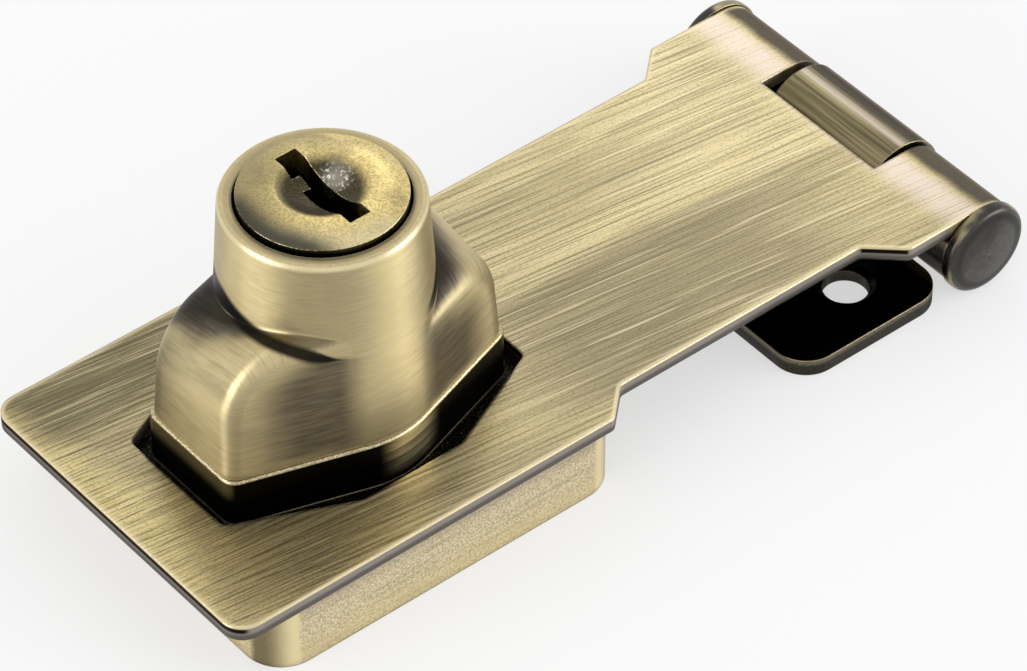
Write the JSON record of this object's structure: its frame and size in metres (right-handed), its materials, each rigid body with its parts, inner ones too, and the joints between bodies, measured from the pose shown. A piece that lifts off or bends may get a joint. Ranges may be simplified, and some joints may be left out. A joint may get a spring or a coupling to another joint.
{
  "type": "keyed hasp lock",
  "caption": "Slotted hasp strap on a pinned hinge leaf, held over a cast base by a winged turn knob that a keyed plug locks.",
  "frame": {"origin": "on the knob's axis, in the plane of the mounting surface, at the centre of the base's four screw holes", "axes": "+Z away from the mounting surface along the knob's axis, +X along the strap towards the hinge, +Y across"},
  "size_m": [0.0801, 0.0352, 0.0305],
  "materials": {
    "brushed_antique_brass": "brushed along its length, antique tone",
    "dark_bronze": "blackened antique finish",
    "cast_brass": "fine cast grain",
    "satin_antique_brass": "satin, dark in the recesses",
    "plug_brass": "satin, stippled",
    "wafer_brass": "stamped",
    "plated_steel": "zinc plated"
  },
  "bodies": {
    "base": {"base_casting": "cast_brass", "hinge_leaf": "dark_bronze", "hinge_pin": "dark_bronze"},
    "strap": {"hasp_strap": "brushed_antique_brass"},
    "knob": {"knob_body": "satin_antique_brass", "bolt_guide": "cast_brass", "retaining_ring": "plated_steel", "thrust_washer": "plated_steel"},
    "plug": {"lock_plug": "plug_brass", "cam_plate": "plated_steel", "cam_screw": "plated_steel", "wafer_spring_1": "plated_steel", "wafer_spring_2": "plated_steel", "wafer_spring_3": "plated_steel", "wafer_spring_4": "plated_steel", "wafer_spring_5": "plated_steel"},
    "bolt": {"locking_bolt": "plated_steel"},
    "wafer_body_1": {"wafer_1": "wafer_brass"},
    "wafer_body_2": {"wafer_2": "wafer_brass"},
    "wafer_body_3": {"wafer_3": "wafer_brass"},
    "wafer_body_4": {"wafer_4": "wafer_brass"},
    "wafer_body_5": {"wafer_5": "wafer_brass"}
  },
  "joints": [
    {"name": "strap_hinge", "type": "hinge", "parent": "base", "child": "strap", "pos_m": [0.0548, 0, 0.00415], "axis": [0, 1, 0], "range_deg": [0, 180]},
    {"name": "knob_turn", "type": "hinge", "parent": "base", "child": "knob", "pos_m": [0, 0, 0.0112], "axis": [0, 0, -1], "range_deg": [0, 90]},
    {"name": "plug_turn", "type": "hinge", "parent": "knob", "child": "plug", "pos_m": [0, 0, 0.02], "axis": [0, 0, -1], "range_deg": [0, 90]},
    {"name": "bolt_slide", "type": "slide", "parent": "knob", "child": "bolt", "axis": [1, 0, 0], "range_m": [0, 0.0013]},
    {"name": "wafer_1_slide", "type": "slide", "parent": "plug", "child": "wafer_body_1", "axis": [0, 1, 0], "range_m": [0, 0.0008]},
    {"name": "wafer_2_slide", "type": "slide", "parent": "plug", "child": "wafer_body_2", "axis": [0, 1, 0], "range_m": [0, 0.0008]},
    {"name": "wafer_3_slide", "type": "slide", "parent": "plug", "child": "wafer_body_3", "axis": [0, 1, 0], "range_m": [0, 0.0008]},
    {"name": "wafer_4_slide", "type": "slide", "parent": "plug", "child": "wafer_body_4", "axis": [0, 1, 0], "range_m": [0, 0.0008]},
    {"name": "wafer_5_slide", "type": "slide", "parent": "plug", "child": "wafer_body_5", "axis": [0, 1, 0], "range_m": [0, 0.0008]}
  ],
  "couplings": [
    {"joint": "bolt_slide", "follows": "plug_turn", "m_per_rad": 0.000827},
    {"joint": "wafer_2_slide", "follows": "wafer_1_slide", "ratio": 1},
    {"joint": "wafer_3_slide", "follows": "wafer_1_slide", "ratio": 1},
    {"joint": "wafer_4_slide", "follows": "wafer_1_slide", "ratio": 1},
    {"joint": "wafer_5_slide", "follows": "wafer_1_slide", "ratio": 1}
  ]
}
